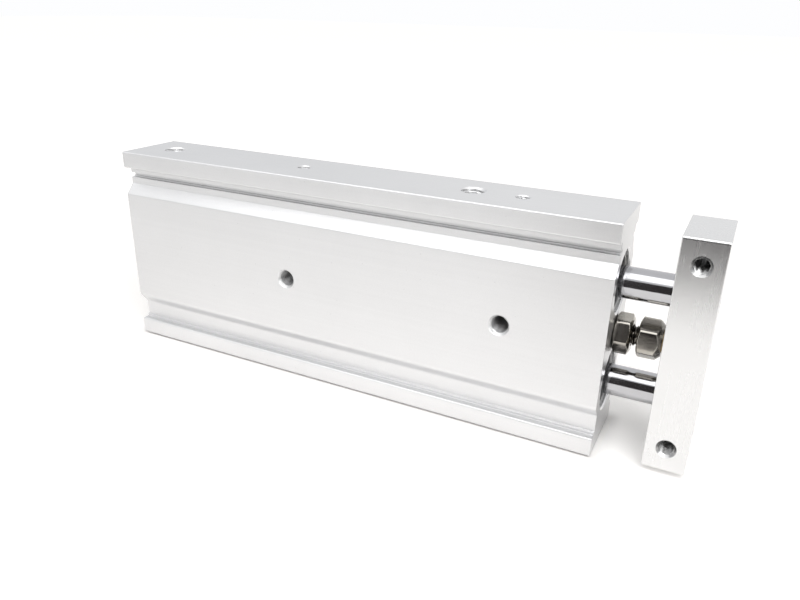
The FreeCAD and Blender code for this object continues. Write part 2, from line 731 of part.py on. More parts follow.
def make_stop_bolt():
    """Bolt whose head stops the plate, adjusted by turning it in the housing."""
    body = new_body("stop_bolt")
    pad(body, "head", outline(body, "hexagon", "YZ_Plane", hexagon(d.hex_flats)),
        d.bolt_head_length)
    bevel_hexagon(body, "outer_bevel", d.bolt_head_length, d.bolt_face_radius,
                  d.bolt_chamfer, -1)
    bevel_hexagon(body, "inner_bevel", sized(0), d.nut_face_radius, d.nut_chamfer, 1)
    shank = d.lock_nut_thickness + d.bare_thread + d.bolt_engagement
    turned(body, "shank", [(-shank, 0), (-shank, bolt_core), (0, bolt_core), (0, 0)])
    seat = rings(body, "pad_circle", "YZ_Plane", [(0, 0)], [d.pad_radius], d.bolt_head_length)
    pocket(body, "pad_seat", seat, d.pad_depth)
    place(body, half_length + d.lock_nut_thickness + d.bare_thread, 0, middle_z,
          d.bolt_head_turn)


def make_stop_pad():
    """Soft pad in the bolt's head that meets the plate."""
    body = new_body("stop_pad")
    radius = d.pad_radius - d.fit_gap
    length = d.pad_depth + d.pad_reach
    chamfer = d.pad_chamfer
    turned(body, "pad", [(0, 0), (0, radius), (length - chamfer, radius),
                         (length, radius - chamfer), (length, 0)])
    place(body, half_length + plate_gap - length, 0, middle_z)


make_housing()
front_o_ring_x = (half_length - d.mouth_depth - d.o_ring_setback - d.o_ring_groove / 2)
rear_o_ring_x = head_o_ring_inset - half_length
for level, z in (("upper", upper_z), ("lower", lower_z)):
    make_rod_cover(f"{level}_rod_cover", z)
    make_rod_seal(f"{level}_rod_seal", z)
    make_o_ring(f"{level}_rod_cover_o_ring", front_o_ring_x, z)
    make_retaining_ring(f"{level}_front_retaining_ring",
                        half_length - d.ring_inset - d.ring_thickness, z, d.ring_turn)
    make_bumper_ring(f"{level}_bumper_ring", z)
    make_head_cover(f"{level}_head_cover", z)
    make_o_ring(f"{level}_head_cover_o_ring", rear_o_ring_x, z)
    make_retaining_ring(f"{level}_rear_retaining_ring", d.ring_inset - half_length, z,
                        d.ring_turn)
    make_rod(f"{level}_piston_rod", z)
    make_piston(f"{level}_piston", z)
    make_wear_ring(f"{level}_wear_ring", z)
    make_magnet(f"{level}_magnet", z)
    make_piston_seal(f"{level}_piston_seal", z)
    make_plate_screw(f"{level}_plate_screw", z)
make_end_plate()
make_lock_nut()
make_stop_bolt()
make_stop_pad()
doc.recompute()


def check_features(body):
    """Every cut has to take material away and every other feature has to add some."""
    before = 0.0
    for item in body.Group:
        if not item.isDerivedFrom("PartDesign::Feature"):
            continue
        kind = item.TypeId.split("::")[1]
        volume = item.Shape.Volume
        shrinks = kind in ("Pocket", "Groove", "Hole", "Fillet", "Chamfer")
        if (shrinks and volume > before - 1e-6) or (not shrinks and volume < before + 1e-6):
            raise RuntimeError(f"{item.Name} changed nothing: {before} to {volume}")
        before = volume


for item in doc.Objects:
    if "Invalid" in item.State or "Error" in item.State:
        raise RuntimeError(f"{item.Name} failed: {item.State}")
for product in products:
    if product.isDerivedFrom("PartDesign::Body"):
        check_features(product)
    if product.Shape.isNull() or not product.Shape.isValid():
        raise RuntimeError(f"{product.Label} has no valid shape")

os.makedirs("parts", exist_ok=True)
for product in products:
    product.Shape.exportStep(f"parts/{product.Label}.step")
print(f"{len(products)} pieces, housing {housing_length.value} long, plate gap {plate_gap.value}")
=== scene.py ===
# Guided pneumatic cylinder: the finished surfaces, laid over the solids of the frame.
# Places and sizes are in millimetres, in the frame's own axes: +X along the rods towards the
# end plate, +Y across the narrow side, +Z up. MM turns them into the scene's metres.
import json
import math

import bmesh
import bpy
import numpy as np
from mathutils import Matrix, Vector


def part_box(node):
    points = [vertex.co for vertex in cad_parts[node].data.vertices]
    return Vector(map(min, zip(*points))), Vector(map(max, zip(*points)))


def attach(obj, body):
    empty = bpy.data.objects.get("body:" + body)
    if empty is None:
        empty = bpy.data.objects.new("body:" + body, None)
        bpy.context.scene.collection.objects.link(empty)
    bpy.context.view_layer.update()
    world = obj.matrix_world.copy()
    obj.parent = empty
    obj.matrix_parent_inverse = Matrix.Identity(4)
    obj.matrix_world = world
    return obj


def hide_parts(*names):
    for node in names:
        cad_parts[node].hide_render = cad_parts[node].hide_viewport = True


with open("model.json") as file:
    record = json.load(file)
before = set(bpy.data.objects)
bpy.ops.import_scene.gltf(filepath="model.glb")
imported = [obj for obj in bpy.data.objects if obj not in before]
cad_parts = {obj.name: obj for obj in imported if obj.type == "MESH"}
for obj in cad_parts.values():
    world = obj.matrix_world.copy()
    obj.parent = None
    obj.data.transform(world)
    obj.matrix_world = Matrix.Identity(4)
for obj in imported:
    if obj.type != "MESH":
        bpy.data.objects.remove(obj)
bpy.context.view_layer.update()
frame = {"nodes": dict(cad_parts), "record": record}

MM = 0.001
FIT = 0.02  # gap between two pieces
POLE = 0.02  # radius at which a turned outline ends on its axis
BEYOND = 0.3  # how far a cutter reaches past the face that it opens

# Housing: bores, ports, tapped holes and the rounding of both ends.
BORE_RADIUS, BORE_PITCH = 5.0, 20.0
MOUTH_RADIUS, MOUTH_DEPTH, MOUTH_CHAMFER = 6.0, 4.5, 0.3
FIXING_INSET, FIXING_PITCH = 20.0, 49.0
FRONT_PORT_INSET, REAR_PORT_INSET, PORT_DEPTH, PASSAGE_RADIUS = 30.0, 8.3, 5.5, 0.9
SIDE_TAP_DEPTH, STOP_HOLE_DEPTH = 5.0, 15.0
HOUSING_EDGE = 0.12

# Its side grooves. A slant runs between two heights above or below the nearer narrow side. The
# slot, its rib and the step are measured from the groove's floor, its slot or its flange.
GROOVE_DEPTH, FLANGE = 2.0, 3.8
LOWER_SLANT, UPPER_SLANT = (8.0, 10.3), (7.7, 10.0)
SLOT_DEPTH, SLOT_WIDTH, SLOT_BELOW_FLANGE = 1.1, 1.0, 1.4
RIB_DEPTH, RIB_EDGE, RIB_ROOT = 0.8, 0.25, 0.3
STEP_OUT, STEP_START, STEP_EDGE, STEP_END = 0.4, 0.1, 0.65, 0.7

# Rods: the thin end that carries the piston, and the hole for the plate's screw.
SPIGOT_LENGTH, SPIGOT_RADIUS, ROD_TAP_DEPTH = 13.9, 2.0, 8.5

# Plate: its edges, the seats and counterbores along the rods, and its tapped holes.
PLATE_EDGE, PLATE_RIM = 0.55, 0.15
SEAT_DEPTH, SEAT_CHAMFER, SCREW_HOLE = 1.0, 0.1, 1.6
COUNTERBORE_RADIUS, COUNTERBORE_DEPTH, COUNTERBORE_CHAMFER = 3.0, 3.3, 0.15
SIDE_HOLE_PITCH, SIDE_HOLE_MOUTH = 35.0, 1.8
LOAD_ACROSS, LOAD_UP = 10.0, 27.0

# Cap screws: threaded tip, plain shank, knurled head with a hexagon socket.
SCREW_TIP, SCREW_LEAD = 0.25, 0.6
SHANK_LENGTH, SHANK_RADIUS = 2.7, 1.45
HEAD_LENGTH, HEAD_RIM, HEAD_ROUND = 3.0, 0.4, 0.15
KNURLS, KNURL_DEPTH, KNURL_START, KNURL_END = 32, 0.06, 0.35, 0.6
SOCKET_FLATS, SOCKET_DEPTH, SOCKET_POINT = 2.5, 1.5, 0.3

# Lock nut and stop bolt: hexagons with a cone at each end, given by its face and its depth.
HEX_FLATS, NUT_TURN, BOLT_TURN = 7.0, 6.0, 23.0
NUT_CONE, BOLT_BACK_CONE, BOLT_FRONT_CONE = (3.1, 0.55), (3.2, 0.45), (2.9, 1.2)
CONE_SPAN, CONE_RINGS, FRONT_CONE_SPAN, FRONT_CONE_RINGS = 0.6, 13, 1.5, 25
NUT_SINK, NUT_SINK_DEPTH, NUT_THREAD_INSET, NUT_CREST = 0.05, 0.25, 0.3, 0.2
BOLT_HEAD_LENGTH, BOLT_TIP, BOLT_LEAD, BOLT_NECK = 4.3, 0.3, 0.9, 0.35

# Retaining rings: each ear stands EAR_SPREAD beside the middle of the opening. RING_EDGE is the
# rounding of the section, as a share of its width and of its thickness.
RING_INSET, RING_GROOVE_WIDTH, RING_GROOVE_RADIUS = 0.7, 1.1, 6.3
RING_BAND, RING_GAP, RING_TURN, RING_EDGE = 1.2, 2.2, 49.0, 0.07
EAR_RADIUS, EAR_SPREAD, EAR_HOLE, EAR_BEYOND = 1.05, 2.05, 0.5, 0.2
RING_SECTIONS = 361

# Each thread: core radius, outer radius, pitch and radius of the countersink.
THREADS = {
    "three": (1.25, 1.5, 0.5, 1.55),
    "four": (1.65, 2.0, 0.7, 2.15),
    "five": (2.1, 2.5, 0.8, 2.6),
}
four_core, four_outer, four_pitch, four_mouth = THREADS["four"]
THREAD_STEPS = 8  # rings in each turn of a thread
ROOT_FLAT, FLANK = 0.2, 0.65  # shares of half a turn
THREAD_BEYOND = 0.4  # how far a tapped hole's cutter reaches past the face
TIP_SHARE = 0.8  # radius of a screw's tip as a share of its core
DRILL_HALF_ANGLE = 59.0
THREAD_SHADE_THREE, THREAD_SHADE_FOUR = (1.7, 1.9), (2.1, 2.3)  # radii between which a thread's painted shade ends

AROUND = 96
TURN = np.linspace(0, 2 * np.pi, AROUND, endpoint=False)


def box_of(node):
    """Lowest and highest corner of a solid, in millimetres."""
    low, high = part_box(node)
    return np.array(low) / MM, np.array(high) / MM


HOUSING_LOW, HOUSING_HIGH = box_of("housing")
PLATE_LOW, PLATE_HIGH = box_of("end_plate")
ROD_END, REAR_END = HOUSING_HIGH[0], HOUSING_LOW[0]
TOP_Z, BOTTOM_Z = HOUSING_HIGH[2], HOUSING_LOW[2]
MIDDLE_Z = (BOTTOM_Z + TOP_Z) / 2
HALF_DEPTH = HOUSING_HIGH[1]
PLATE_THICKNESS = PLATE_HIGH[0] - PLATE_LOW[0]
PLATE_MIDDLE = (PLATE_LOW[0] + PLATE_HIGH[0]) / 2
BORES = {"upper": MIDDLE_Z + BORE_PITCH / 2, "lower": MIDDLE_Z - BORE_PITCH / 2}
FIXING_X = (ROD_END - FIXING_INSET, ROD_END - FIXING_INSET - FIXING_PITCH)
PORT_X = (ROD_END - FRONT_PORT_INSET, REAR_END + REAR_PORT_INSET)


# Shapes: every piece is a stack of rings, worked out as whole arrays.

def stack(along, radius, foot, axis=(1, 0, 0)):
    """Rings about an axis, at foot + along * axis, whose points stand off by
    radius * (cos(turn) * side + sin(turn) * over)."""
    axis = np.array(axis, float)
    side = np.array((0, 1.0, 0) if abs(axis[0]) > 0.5 else (1.0, 0, 0))
    over = np.cross(axis, side)
    spokes = np.cos(TURN)[:, None] * side + np.sin(TURN)[:, None] * over
    along = np.asarray(along, float)
    radius = np.broadcast_to(np.asarray(radius, float), (len(along), AROUND))
    return np.array(foot, float) + along[:, None, None] * axis + radius[..., None] * spokes


def lathe(points, foot, axis=(1, 0, 0)):
    """Rings of an (along, radius) outline turned about the axis."""
    points = np.asarray(points, float)
    return stack(points[:, 0], points[:, 1:2], foot, axis)


def softened(points, radii, steps=4, closed=True):
    """Outline with each corner replaced by an arc that touches both of its sides.

    The arc's centre lies on the bisector at radius / sin(half the corner), and its ends lie at
    radius / tan(half the corner) from the corner. An open outline keeps its two end points.
    """
    points = np.asarray(points, float)
    radii = np.broadcast_to(np.asarray(radii, float), len(points))
    before, after = np.roll(points, 1, 0) - points, np.roll(points, -1, 0) - points
    before /= np.linalg.norm(before, axis=1, keepdims=True)
    after /= np.linalg.norm(after, axis=1, keepdims=True)
    half = np.arccos(np.clip((before * after).sum(1), -1, 1)) / 2
    bisector = before + after
    bisector /= np.linalg.norm(bisector, axis=1, keepdims=True)
    centre = points + bisector * (radii / np.sin(half))[:, None]
    reach = (radii / np.tan(half))[:, None]
    start, end = points + before * reach - centre, points + after * reach - centre
    start_angle = np.arctan2(start[:, 1], start[:, 0])
    sweep = np.arctan2(end[:, 1], end[:, 0]) - start_angle
    sweep = (sweep + np.pi) % (2 * np.pi) - np.pi
    angle = start_angle[:, None] + sweep[:, None] * np.linspace(0, 1, steps + 1)
    arcs = centre[:, None] + radii[:, None, None] * np.stack([np.cos(angle), np.sin(angle)], -1)
    if closed:
        return arcs.reshape(-1, 2)
    return np.concatenate([points[:1], arcs[1:-1].reshape(-1, 2), points[-1:]])


def turned_piece(rows, z):
    """Rings about X from open (along, radius, corner radius) rows."""
    rows = np.array(rows, float)
    return lathe(softened(rows[:, :2], rows[:, 2], closed=False), (0, 0, z))


def shrunk(outline, inset):
    """Closed outline, run anticlockwise, with every point moved inwards along its normal."""
    along = np.roll(outline, -1, 0) - np.roll(outline, 1, 0)
    along /= np.linalg.norm(along, axis=1, keepdims=True)
    outwards = np.stack([along[:, 1], -along[:, 0]], -1)
    return outline - outwards * inset


def bar(section, start, end, edge, steps=4):
    """Rings of a (y, z) section along X, its two ends rounded: inset edge * (1 - sin(angle)) at
    a depth of edge * (1 - cos(angle)) below the end face."""
    angle = np.linspace(0, np.pi / 2, steps + 1)
    inset, depth = edge * (1 - np.sin(angle)), edge * (1 - np.cos(angle))
    places = np.concatenate([start + depth, end - depth[::-1]])
    insets = np.concatenate([inset, inset[::-1]])
    rings = [np.insert(shrunk(section, amount), 0, place, axis=1)
             for place, amount in zip(places, insets)]
    return np.array(rings)


def thread(along, core, outer, pitch):
    """Radius of a V thread: a triangle wave of along / pitch - turn, cut flat at root and
    crest."""
    phase = (np.asarray(along)[:, None] / pitch - TURN / (2 * np.pi)) % 1
    wave = np.abs(2 * phase - 1)
    return core + (outer - core) * np.clip((wave - ROOT_FLAT) / FLANK, 0, 1)


def outer_thread(along, tip, lead, size, root_share, slack=0.0):
    """Radius of a screw's thread: root + (thread - root) * share, where the share rises from 0
    at the tip to 1 at the end of its lead."""
    core, outer, pitch, _ = THREADS[size]
    root = core * root_share
    share = np.clip((along - tip) / lead, 0, 1)[:, None]
    return root + (thread(along, core - slack, outer - FIT, pitch) - root) * share


def hexagon(flats, turn=0.0, corner_soft=0.12):
    """Radius of a hexagon at every turn: flats / 2 / cos(angle from the middle of its side),
    its corners eased off by a soft minimum with a circle just inside them."""
    angle = (TURN - math.radians(turn)) % (math.pi / 3) - math.pi / 6
    sides = flats / 2 / np.cos(angle)
    limit = flats / math.sqrt(3) - corner_soft
    gap = sides - limit
    return sides - (gap + np.sqrt(gap ** 2 + (corner_soft / 2) ** 2)) / 2


def tapped_hole(size, depth, foot, axis, through=False, mouth=None):
    """Cutter for a tapped hole: the larger of its thread and a 45 degree cone at each mouth. A
    blind one ends in a drilled point."""
    core, outer, pitch, usual_mouth = THREADS[size]
    mouth = mouth or usual_mouth
    step = pitch / THREAD_STEPS
    along = np.arange(-THREAD_BEYOND, depth + (THREAD_BEYOND if through else -step / 2), step)
    radius = np.maximum(thread(along, core, outer, pitch), (mouth - along)[:, None])
    if through:
        radius = np.maximum(radius, (mouth - depth + along)[:, None])
        return stack(along, radius, foot, axis)
    point = core / math.tan(math.radians(DRILL_HALF_ANGLE))
    rings = stack(along, radius, foot, axis)
    tip = lathe([(depth, core), (depth + point, POLE)], foot, axis)
    return np.concatenate([rings, tip])


# Meshes: rings become closed surfaces, and cutters are taken out of them.

def closed_mesh(name, rings, loop=False):
    """Mesh of quads between neighbouring rings; a stack has a flat cap at both ends, and a loop
    joins its last ring to its first. Normals are turned outwards."""
    count, around = rings.shape[:2]
    index = np.arange(count * around).reshape(count, around)
    lower, upper = (index, np.roll(index, -1, 0)) if loop else (index[:-1], index[1:])
    quads = np.stack([lower, np.roll(lower, -1, 1), np.roll(upper, -1, 1), upper], -1)
    faces = quads.reshape(-1, 4).tolist()
    if not loop:
        faces += [index[0][::-1].tolist(), index[-1].tolist()]
    mesh = bpy.data.meshes.new(name)
    mesh.from_pydata((rings.reshape(-1, 3) * MM).tolist(), [], faces)
    shell = bmesh.new()
    shell.from_mesh(mesh)
    bmesh.ops.recalc_face_normals(shell, faces=shell.faces)
    shell.to_mesh(mesh)
    shell.free()
    return mesh


def new_object(name, mesh):
    piece = bpy.data.objects.new(name, mesh)
    bpy.context.scene.collection.objects.link(piece)
    return piece


def carved(name, rings, cutters, loop=False):
    """Solid with every cutter taken out of it, as one plain mesh."""
    blank = new_object(f"{name}_blank", closed_mesh(f"{name}_blank", rings, loop))
    tools = []
    for cutter in cutters:
        tool = new_object(f"{name}_cutter", closed_mesh(f"{name}_cutter", cutter))
        step = blank.modifiers.new("cut", "BOOLEAN")
        step.solver = "MANIFOLD"
        step.object = tool
        tools.append(tool)
    evaluated = blank.evaluated_get(bpy.context.evaluated_depsgraph_get())
    mesh = bpy.data.meshes.new_from_object(evaluated)
    mesh.name = name
    for spent in tools + [blank]:
        bpy.data.objects.remove(spent)
    return mesh


def fitted(node, mesh, sharp=32.0):
    """Puts a finished mesh in the place of a solid: same body, same material slot. Edges that
    turn by more than the sharp angle stay sharp."""
    piece = new_object(f"{node}_finished", mesh)
    mesh.materials.clear()
    mesh.materials.append(finishes[slot_of[node]])
    mesh.polygons.foreach_set("use_smooth", np.ones(len(mesh.polygons), bool))
    mesh.set_sharp_from_angle(angle=math.radians(sharp))
    weighted = piece.modifiers.new("even_normals", "WEIGHTED_NORMAL")
    weighted.keep_sharp = True
    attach(piece, body_of[node])
    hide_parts(node)


# Materials: arithmetic on sockets, and one method for every other node.

class Level:
    """A socket that carries a number. Each operator adds its Math node."""

    def __init__(self, recipe, socket):
        self.recipe = recipe
        self.socket = socket

    def maths(self, operation, *operands):
        return self.recipe.node("ShaderNodeMath", {"operation": operation},
                                dict(enumerate(operands)))

    def __add__(self, other):
        return self.maths("ADD", self, other)

    def __radd__(self, other):
        return self.maths("ADD", other, self)

    def __sub__(self, other):
        return self.maths("SUBTRACT", self, other)

    def __rsub__(self, other):
        return self.maths("SUBTRACT", other, self)

    def __mul__(self, other):
        return self.maths("MULTIPLY", self, other)

    def __pow__(self, other):
        return self.maths("POWER", self, other)

    def __abs__(self):
        return self.maths("ABSOLUTE", self)

    def at_least(self, other):
        return self.maths("MAXIMUM", self, other)

    def over(self, low, high):
        """Rises smoothly from 0 at low to 1 at high."""
        return self.recipe.node("ShaderNodeMapRange", {"interpolation_type": "SMOOTHSTEP"},
                                {"Value": self, "From Min": low, "From Max": high})

    def over_mm(self, low, high):
        """The same for a length in metres, between two places in millimetres."""
        return self.over(low * MM, high * MM)


class Recipe:
    """The node tree of one material or of the world."""

    def __init__(self, owner):
        owner.use_nodes = True
        self.tree = owner.node_tree
        self.tree.nodes.clear()
        self.place = None

    def node(self, kind, settings=None, inputs=None, output=0):
        """Adds a node: first its settings, then the values or links of its sockets."""
        made = self.tree.nodes.new(kind)
        for name, value in (settings or {}).items():
            setattr(made, name, value)
        for name, value in (inputs or {}).items():
            if isinstance(value, Level):
                self.tree.links.new(value.socket, made.inputs[name])
            else:
                made.inputs[name].default_value = value
        if not made.outputs:
            return made
        return Level(self, made.outputs[output])

    def outputs(self, level, names):
        """More outputs of the node that a level comes from."""
        return [Level(self, level.socket.node.outputs[name]) for name in names]

    def coordinates(self):
        """Place on the piece, in metres in the frame's axes."""
        if self.place is None:
            self.place = self.node("ShaderNodeTexCoord", output="Object")
        return self.place

    def axes(self, vector=None):
        """The three parts of a vector, or of the place on the piece."""
        vector = vector or self.coordinates()
        return self.outputs(self.node("ShaderNodeSeparateXYZ", {}, {0: vector}), range(3))

    def noise(self, scale, detail=2.0, stretch=None, roughness=0.5):
        """Noise with features about 1 / scale metres wide, longer where stretch is small."""
        vector = self.coordinates()
        if stretch:
            vector = self.node("ShaderNodeMapping", {}, {"Vector": vector, "Scale": stretch})
        return self.node("ShaderNodeTexNoise", {}, {"Vector": vector, "Scale": scale,
                                                    "Detail": detail, "Roughness": roughness})

    def cells(self, scale):
        """Distance from the nearest of many scattered points, as a share of their spacing."""
        return self.node("ShaderNodeTexVoronoi", {"feature": "F1"},
                         {"Vector": self.coordinates(), "Scale": scale})

    def waves(self, source, per_metre):
        """Fine grooves: the sine of a length."""
        return source.maths("SINE", source * (per_metre * 2 * math.pi))

    def between(self, factor, low=0.0, high=1.0):
        """Colour between two colours."""
        return self.node("ShaderNodeMix", {"data_type": "RGBA"},
                         {0: factor, 6: colour(low), 7: colour(high)}, output=2)

    def relief(self, height, depth, strength):
        """Normal of a surface that rises and falls by the depth, in metres."""
        return self.node("ShaderNodeBump", {},
                         {"Height": height, "Distance": depth, "Strength": strength})

    def mixed(self, factor, first, second):
        return self.node("ShaderNodeMixShader", {}, {0: factor, 1: first, 2: second})


def colour(value):
    """A grey level or three channels as the four that a colour socket takes."""
    channels = (value,) * 3 if isinstance(value, (int, float)) else tuple(value)
    return channels + (1.0,)


def finish(slot, recipe_of):
    """Material of one slot of the record, from a function that gives its shader's sockets."""
    material = bpy.data.materials.new(slot)
    recipe = Recipe(material)
    surface = recipe.node("ShaderNodeBsdfPrincipled", {}, recipe_of(recipe))
    recipe.node("ShaderNodeOutputMaterial", {}, {"Surface": surface})
    return material


def off_pair(level, middle, pitch):
    """Distance along one axis from the nearer of two places, a pitch apart about a middle."""
    return abs(level - middle * MM) - pitch / 2 * MM


def reach_of(first, second):
    """Length of a vector from its two parts."""
    return (first * first + second * second) ** 0.5


def bore_distance(recipe):
    """Distance from the axis of whichever bore is nearer, in metres."""
    _, y, z = recipe.axes()
    return reach_of(y, off_pair(z, MIDDLE_Z, BORE_PITCH))


def fixing_distance(recipe):
    """Distance from the axis of whichever fixing hole is nearer, in metres."""
    x, _, z = recipe.axes()
    return reach_of(off_pair(x, sum(FIXING_X) / 2, FIXING_PITCH), z - MIDDLE_Z * MM)


def side_hole_distance(recipe):
    """Distance from the axis of whichever side hole of the plate is nearer, in metres."""
    x, _, z = recipe.axes()
    return reach_of(x - PLATE_MIDDLE * MM, off_pair(z, MIDDLE_Z, SIDE_HOLE_PITCH))


def blasted_housing(r):
    """Fine blasted, clear anodised aluminium: sandy grain, faint die lines along the extrusion,
    milled end faces, brighter turned bores, and painted shade that darkens the threads."""
    x, y, z = r.axes()
    depth = 1 - abs(y).over_mm(HALF_DEPTH - 0.9, HALF_DEPTH - 0.3)
    # Painted shade: the threads deep in the fixing holes are darkened.
    thread_shade = (1 - fixing_distance(r).over_mm(*THREAD_SHADE_FOUR)) * depth
    end_face = abs(x).over_mm(ROD_END - 0.09, ROD_END - 0.02)
    bore = 1 - bore_distance(r).over_mm(RING_GROOVE_RADIUS + 0.05, RING_GROOVE_RADIUS + 0.12)
    grain = r.noise(5200, detail=3.0, roughness=0.7)
    clouds = r.noise(60, detail=3.0)
    lines = r.noise(1500, detail=2.0, stretch=(0.006, 1.0, 1.0))
    milled = r.waves(r.noise(30, detail=0.0) * 0.004 + z + y * 0.35, 2200)
    blasted = (1 - end_face) * (1 - bore)
    tone = grain * 0.10 + clouds * 0.05 + lines * 0.03 * blasted + 0.61
    speck = 1 - r.cells(420).over(0.035, 0.05)
    shade = (tone - speck * 0.10 * blasted - end_face * 0.05) * (1 - thread_shade * 0.55)
    return {
        "Base Color": r.between(shade, high=(1.0, 1.0, 1.005)),
        "Metallic": 1.0,
        "Roughness": 0.40 + (grain - 0.5) * 0.16 + clouds * 0.06 - end_face * 0.10 - bore * 0.16,
        "Normal": r.relief(grain * blasted + lines * 0.35 * blasted + milled * 0.25 * end_face,
                           0.000022, 0.55),
    }


def milled_plate(r):
    """Milled and clear anodised plate: smoother than the housing, faint strokes along its height,
    and painted shade that darkens its threads."""
    _, y, _ = r.axes()
    depth = 1 - abs(y).over_mm(HALF_DEPTH - 0.75, HALF_DEPTH - 0.35)
    # Painted shade: the threads deep in the side holes are darkened.
    thread_shade = (1 - side_hole_distance(r).over_mm(*THREAD_SHADE_THREE)) * depth
    strokes = r.noise(2600, detail=2.0, stretch=(1.0, 1.0, 0.02))
    grain = r.noise(5000, detail=2.0)
    clouds = r.noise(110, detail=3.0)
    tone = 0.66 + strokes * 0.05 + clouds * 0.05
    return {
        "Base Color": r.between(tone * (1 - thread_shade * 0.5)),
        "Metallic": 1.0,
        "Roughness": 0.20 + strokes * 0.06 + clouds * 0.08,
        "Normal": r.relief(strokes + grain * 0.4, 0.000010, 0.5),
    }


def ground_chrome(r):
    """Ground and hard chromed rod: mirror bright, with hair-fine rings from grinding."""
    rings = r.noise(4000, detail=2.0, stretch=(1.0, 0.01, 0.01))
    smear = r.noise(160, detail=3.0)
    return {
        "Base Color": r.between(0.41 + smear * 0.08, high=(1.0, 1.0, 1.03)),
        "Metallic": 1.0,
        "Roughness": 0.06 + smear * 0.06 + rings * 0.03,
        "Normal": r.relief(rings, 0.000003, 0.4),
    }


def turned(tone, warmth, rough):
    """Turned metal: fine rings about the bore's axis on its faces, and along it on its walls."""
    def recipe_of(r):
        x, _, _ = r.axes()
        rings = r.waves(bore_distance(r), 5200) + r.waves(x, 5200)
        clouds = r.noise(300, detail=3.0)
        return {
            "Base Color": r.between(tone + clouds * 0.08,
                                    high=(1.0, 1.0 - warmth / 2, 1.0 - warmth)),
            "Metallic": 1.0,
            "Roughness": rough + clouds * 0.10,
            "Normal": r.relief(rings * 0.5, 0.000004, 0.5),
        }
    return recipe_of


def nickel(r):
    """Nickel plated steel, slightly warm, with smudges and softly worn flats; its threads are
    darkened by painted shade."""
    _, y, z = r.axes()
    # Painted shade: the threads about the bolt's axis are darkened.
    thread_shade = 1 - reach_of(y, z - MIDDLE_Z * MM).over_mm(*THREAD_SHADE_FOUR)
    clouds = r.noise(420, detail=4.0)
    scratches = r.noise(2400, detail=2.0, stretch=(0.15, 1.0, 1.0))
    return {
        "Base Color": r.between((0.32 + clouds * 0.16) * (1 - thread_shade * 0.7),
                                (0.02, 0.015, 0.01), (0.92, 0.88, 0.80)),
        "Metallic": 1.0,
        "Roughness": 0.08 + clouds * 0.10 + scratches * 0.04,
        "Normal": r.relief(clouds + scratches * 0.3, 0.000014, 0.5),
    }


def dark_steel(tone, rough):
    """Oiled or blackened steel with a mottled film."""
    def recipe_of(r):
        film = r.noise(900, detail=4.0)
        return {
            "Base Color": r.between(film, tone * 0.75, tone * 1.25),
            "Metallic": 1.0,
            "Roughness": rough + film * 0.14,
            "Normal": r.relief(film, 0.000008, 0.5),
        }
    return recipe_of


def moulded(low, high, rough, gloss):
    """Rubber or plastic: a little uneven in colour, with a fine moulded grain."""
    def recipe_of(r):
        clouds = r.noise(500, detail=3.0)
        grain = r.noise(6000, detail=2.0)
        return {
            "Base Color": r.between(clouds, low, high),
            "Metallic": 0.0,
            "Roughness": rough + clouds * 0.10,
            "Specular IOR Level": gloss,
            "Normal": r.relief(grain + clouds, 0.000010, 0.4),
        }
    return recipe_of


RECIPES = {
    "housing_anodised": blasted_housing,
    "plate_aluminium": milled_plate,
    "rod_chrome": ground_chrome,
    "cover_alloy": turned(tone=0.50, warmth=0.02, rough=0.28),
    "piston_alloy": turned(tone=0.62, warmth=0.0, rough=0.25),
    "ring_steel": dark_steel(tone=0.30, rough=0.24),
    "screw_steel": dark_steel(tone=0.10, rough=0.34),
    "nut_nickel": nickel,
    "seal_rubber": moulded((0.02, 0.02, 0.02), (0.04, 0.04, 0.04), rough=0.55, gloss=0.4),
    "bumper_urethane": moulded((0.50, 0.33, 0.14), (0.64, 0.44, 0.20), rough=0.30, gloss=0.5),
    "wear_plastic": moulded((0.66, 0.60, 0.48), (0.76, 0.70, 0.58), rough=0.45, gloss=0.4),
    "magnet_dark": moulded((0.07, 0.06, 0.06), (0.12, 0.11, 0.11), rough=0.60, gloss=0.3),
}
finishes = {slot: finish(slot, recipe_of) for slot, recipe_of in RECIPES.items()}
slot_of = {row["node"]: row["material_slot"] for row in frame["record"]["subparts"]}
body_of = {node: body for body, nodes in frame["record"]["behaviour"]["bodies"].items()
           for node in nodes}

for node, solid in frame["nodes"].items():
    for index in range(len(solid.material_slots)):
        solid.material_slots[index].material = finishes[slot_of[node]]


# Housing: extruded section with softened corners, bores, ports and tapped holes.

def housing_section():
    """One wide side of the extrusion as (across, up, corner radius) rows from the bottom up, run
    anticlockwise, then its mirror image. Both grooves slope towards the middle of the side; the
    upper one has a slot with a fine rib, the lower one a fine step beside its flange. Outer
    corners are rounder than the ends' edge, so that no ring folds over itself there."""
    main, deep = HALF_DEPTH, HALF_DEPTH - GROOVE_DEPTH
    slot, rib, step = deep - SLOT_DEPTH, deep - RIB_DEPTH, deep + STEP_OUT
    band, low_band = TOP_Z - FLANGE, BOTTOM_Z + FLANGE
    slot_top = band - SLOT_BELOW_FLANGE
    lip = slot_top - SLOT_WIDTH
    side = np.array([
        (main, BOTTOM_Z, 0.5),
        (main, low_band + STEP_START, 0.4),
        (step, low_band + STEP_START, 0.1),
        (step, low_band + STEP_EDGE, 0.14),
        (deep, low_band + STEP_END, 0.1),
        (deep, BOTTOM_Z + LOWER_SLANT[0], 1.5),
        (main, BOTTOM_Z + LOWER_SLANT[1], 2.0),
        (main, TOP_Z - UPPER_SLANT[1], 0.4),
        (deep, TOP_Z - UPPER_SLANT[0], 0.25),
        (deep, lip, 0.15),
        (rib, lip, 0.04),
        (rib, lip + RIB_EDGE, 0.14),
        (slot, lip + RIB_ROOT, 0.04),
        (slot, slot_top, 0.1),
        (deep, slot_top, 0.14),
        (deep, band, 0.15),
        (main, band, 0.4),
        (main, TOP_Z, 0.35)])
    loop = np.concatenate([side, side[::-1] * (-1, 1, 1)])
    return softened(loop[:, :2], loop[:, 2])


